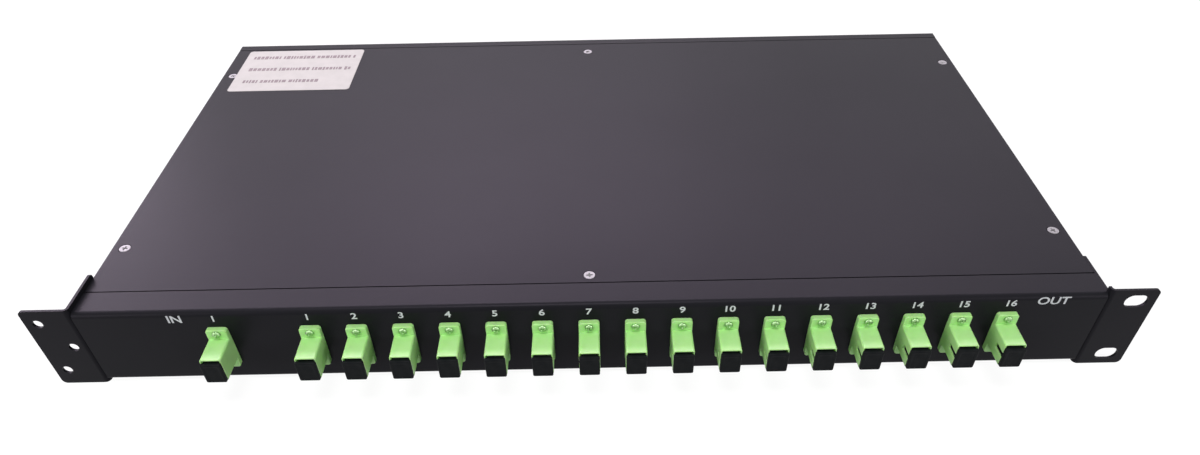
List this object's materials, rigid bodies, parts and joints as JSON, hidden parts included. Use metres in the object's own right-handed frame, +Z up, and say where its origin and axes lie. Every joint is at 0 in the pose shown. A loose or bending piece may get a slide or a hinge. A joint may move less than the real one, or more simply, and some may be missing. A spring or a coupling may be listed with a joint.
{
  "type": "rack-mount fibre splitter",
  "caption": "Slim black steel rack box that splits one optical fibre into many, with a screwed-down cover, bent ears and a row of green flanged adapters closed by dust caps.",
  "frame": {"origin": "under the middle of the whole box, caps included, level with the lower edge of the ears", "axes": "+X to the right along the front, +Y from front to back, +Z up; the front faces -Y"},
  "size_m": [0.4826, 0.2666, 0.0444],
  "materials": {
    "black_steel": "fine matt black powder coat",
    "green_plastic": "smooth moulded bright green",
    "black_plastic": "smooth moulded black",
    "plated_steel": "bright zinc plate",
    "white_label": "matt white film",
    "white_ceramic": "polished ceramic",
    "yellow_jacket": "soft yellow jacket",
    "pale_plastic": "moulded pale grey"
  },
  "bodies": {
    "box": {"chassis_tray": "black_steel", "top_cover": "black_steel", "cover_label": "white_label", "left_ear": "black_steel", "right_ear": "black_steel", "adapter_in": "green_plastic", "adapter_01": "green_plastic", "adapter_02": "green_plastic", "adapter_03": "green_plastic", "adapter_04": "green_plastic", "adapter_05": "green_plastic", "adapter_06": "green_plastic", "adapter_07": "green_plastic", "adapter_08": "green_plastic", "adapter_09": "green_plastic", "adapter_10": "green_plastic", "adapter_11": "green_plastic", "adapter_12": "green_plastic", "adapter_13": "green_plastic", "adapter_14": "green_plastic", "adapter_15": "green_plastic", "adapter_16": "green_plastic", "cover_screws": "plated_steel", "ear_screws": "plated_steel", "adapter_screws": "plated_steel", "alignment_sleeves": "white_ceramic", "inner_connectors": "green_plastic", "pigtails": "yellow_jacket", "fibre_loop": "yellow_jacket", "fibre_clips": "pale_plastic", "splitter_module": "plated_steel", "module_holder": "pale_plastic", "module_leads": "yellow_jacket"},
    "cap_in": {"dust_cap_in": "black_plastic"},
    "cap_01": {"dust_cap_01": "black_plastic"},
    "cap_02": {"dust_cap_02": "black_plastic"},
    "cap_03": {"dust_cap_03": "black_plastic"},
    "cap_04": {"dust_cap_04": "black_plastic"},
    "cap_05": {"dust_cap_05": "black_plastic"},
    "cap_06": {"dust_cap_06": "black_plastic"},
    "cap_07": {"dust_cap_07": "black_plastic"},
    "cap_08": {"dust_cap_08": "black_plastic"},
    "cap_09": {"dust_cap_09": "black_plastic"},
    "cap_10": {"dust_cap_10": "black_plastic"},
    "cap_11": {"dust_cap_11": "black_plastic"},
    "cap_12": {"dust_cap_12": "black_plastic"},
    "cap_13": {"dust_cap_13": "black_plastic"},
    "cap_14": {"dust_cap_14": "black_plastic"},
    "cap_15": {"dust_cap_15": "black_plastic"},
    "cap_16": {"dust_cap_16": "black_plastic"}
  },
  "joints": [
    {"name": "cap_in_pull", "type": "slide", "parent": "box", "child": "cap_in", "axis": [0, -1, 0], "range_m": [0, 0.02]},
    {"name": "cap_01_pull", "type": "slide", "parent": "box", "child": "cap_01", "axis": [0, -1, 0], "range_m": [0, 0.02]},
    {"name": "cap_02_pull", "type": "slide", "parent": "box", "child": "cap_02", "axis": [0, -1, 0], "range_m": [0, 0.02]},
    {"name": "cap_03_pull", "type": "slide", "parent": "box", "child": "cap_03", "axis": [0, -1, 0], "range_m": [0, 0.02]},
    {"name": "cap_04_pull", "type": "slide", "parent": "box", "child": "cap_04", "axis": [0, -1, 0], "range_m": [0, 0.02]},
    {"name": "cap_05_pull", "type": "slide", "parent": "box", "child": "cap_05", "axis": [0, -1, 0], "range_m": [0, 0.02]},
    {"name": "cap_06_pull", "type": "slide", "parent": "box", "child": "cap_06", "axis": [0, -1, 0], "range_m": [0, 0.02]},
    {"name": "cap_07_pull", "type": "slide", "parent": "box", "child": "cap_07", "axis": [0, -1, 0], "range_m": [0, 0.02]},
    {"name": "cap_08_pull", "type": "slide", "parent": "box", "child": "cap_08", "axis": [0, -1, 0], "range_m": [0, 0.02]},
    {"name": "cap_09_pull", "type": "slide", "parent": "box", "child": "cap_09", "axis": [0, -1, 0], "range_m": [0, 0.02]},
    {"name": "cap_10_pull", "type": "slide", "parent": "box", "child": "cap_10", "axis": [0, -1, 0], "range_m": [0, 0.02]},
    {"name": "cap_11_pull", "type": "slide", "parent": "box", "child": "cap_11", "axis": [0, -1, 0], "range_m": [0, 0.02]},
    {"name": "cap_12_pull", "type": "slide", "parent": "box", "child": "cap_12", "axis": [0, -1, 0], "range_m": [0, 0.02]},
    {"name": "cap_13_pull", "type": "slide", "parent": "box", "child": "cap_13", "axis": [0, -1, 0], "range_m": [0, 0.02]},
    {"name": "cap_14_pull", "type": "slide", "parent": "box", "child": "cap_14", "axis": [0, -1, 0], "range_m": [0, 0.02]},
    {"name": "cap_15_pull", "type": "slide", "parent": "box", "child": "cap_15", "axis": [0, -1, 0], "range_m": [0, 0.02]},
    {"name": "cap_16_pull", "type": "slide", "parent": "box", "child": "cap_16", "axis": [0, -1, 0], "range_m": [0, 0.02]}
  ]
}
